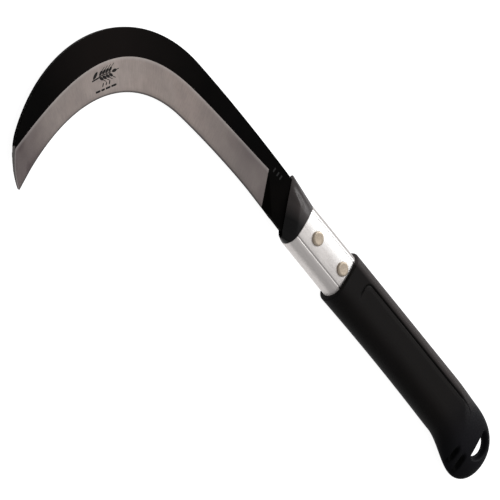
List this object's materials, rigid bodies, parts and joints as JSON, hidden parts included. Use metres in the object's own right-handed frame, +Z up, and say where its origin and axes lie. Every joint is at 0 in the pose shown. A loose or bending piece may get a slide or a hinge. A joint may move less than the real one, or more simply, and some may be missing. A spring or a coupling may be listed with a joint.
{
  "type": "hand sickle",
  "caption": "Hand sickle with a hooked single-bevel blade, slanted throat collar, riveted flat-oval tube and a moulded grip with a half-moon hanging hole.",
  "frame": {"origin": "the point on the ground below the middle of the tool's outline, on the plane of the grip's flat underside", "axes": "+X along the handle towards the butt, -Y towards the tip and the open side of the hook, +Z up, away from the surface the grip lies on; the ground bevel faces +Z"},
  "size_m": [0.4306, 0.1536, 0.018],
  "materials": {
    "blade_steel": "black coated body with a ground bevel, grinding marks across the edge",
    "collar_plastic": "moulded, semi-gloss black",
    "liner_plastic": "plain moulded",
    "tube_aluminium": "extruded, satin, fine lines along the tube",
    "rivet_metal": "warm plated, set flat",
    "grip_rubber": "matte black, fine moulded texture"
  },
  "bodies": {
    "root": {"blade": "blade_steel", "collar": "collar_plastic", "liner_upper": "liner_plastic", "liner_lower": "liner_plastic", "tube": "tube_aluminium", "rivet_front": "rivet_metal", "rivet_rear": "rivet_metal", "grip": "grip_rubber"}
  },
  "joints": []
}
